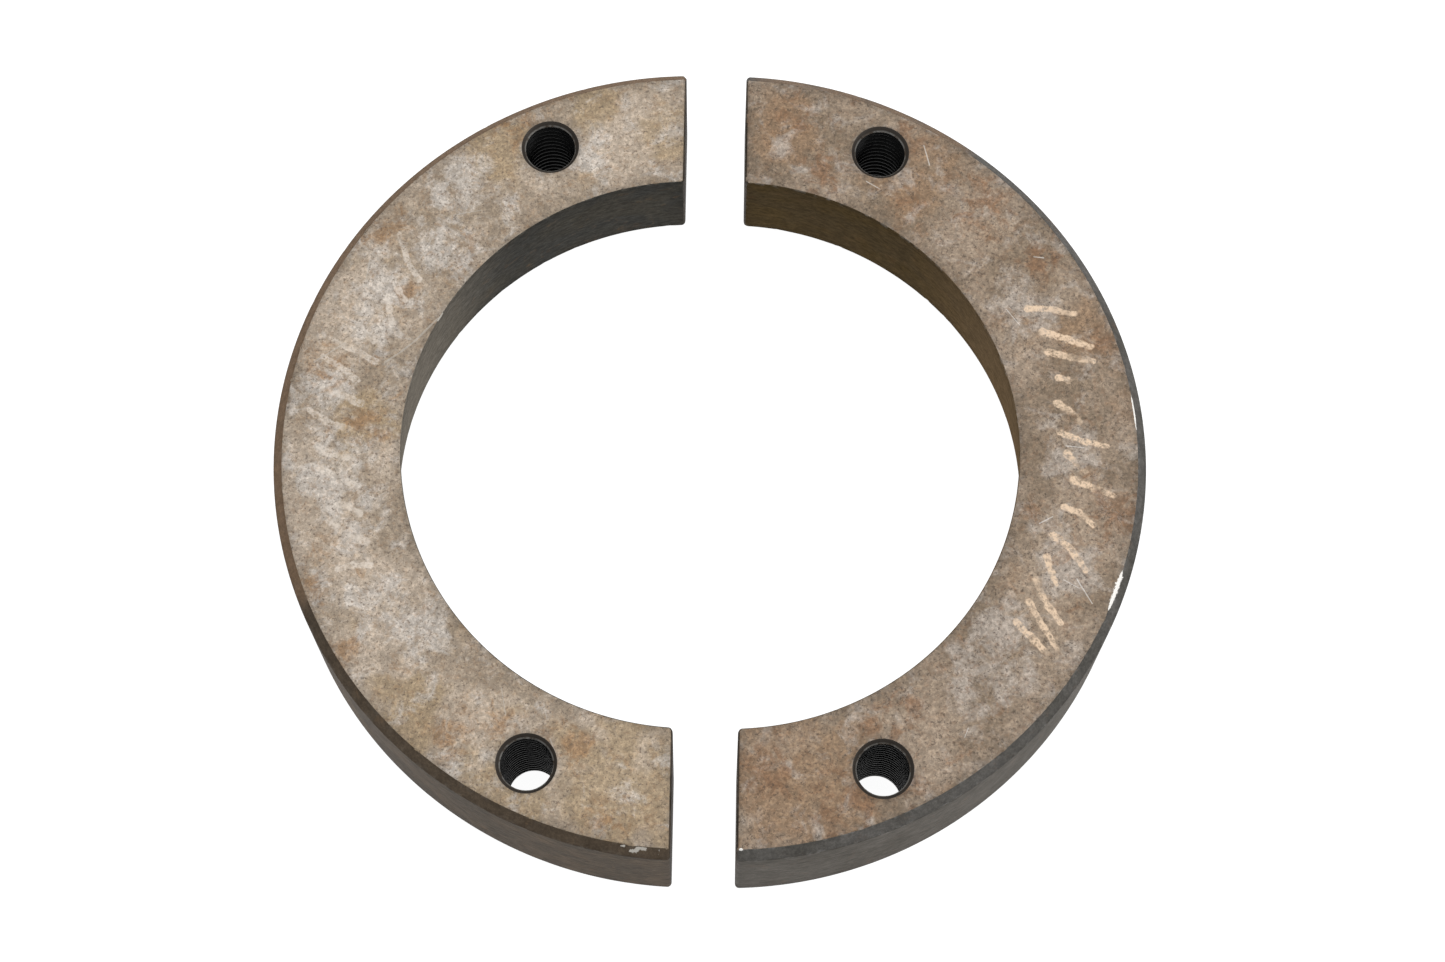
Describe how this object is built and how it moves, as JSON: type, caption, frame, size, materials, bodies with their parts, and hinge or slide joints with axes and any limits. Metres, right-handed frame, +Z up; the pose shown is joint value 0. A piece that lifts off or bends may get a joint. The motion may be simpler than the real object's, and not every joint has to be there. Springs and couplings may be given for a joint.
{
  "type": "split clamp ring",
  "caption": "Two loose, thick steel half rings with a tapered bore, chamfered outer edge and tapped through holes, closed around a hub or neck and bolted to a flange.",
  "frame": {"origin": "middle of the bore between the two halves, on the plane the lower faces lie on", "axes": "+X from the left half to the right half across the split gap, +Y along the split gap, +Z up, along the bore, towards the small end of the taper"},
  "size_m": [0.2784, 0.2666, 0.0444],
  "materials": {
    "steel_left": "machined carbon steel, dull, with light flash rust and pale oxide patches",
    "steel_right": "machined carbon steel, dull, with denser brown flash rust"
  },
  "bodies": {
    "left_half": {"half_ring_left": "steel_left"},
    "right_half": {"half_ring_right": "steel_right"}
  },
  "joints": [
    {"name": "close_halves", "type": "slide", "parent": "left_half", "child": "right_half", "axis": [1, 0, 0], "range_m": [-0.0199, 0.09]}
  ]
}
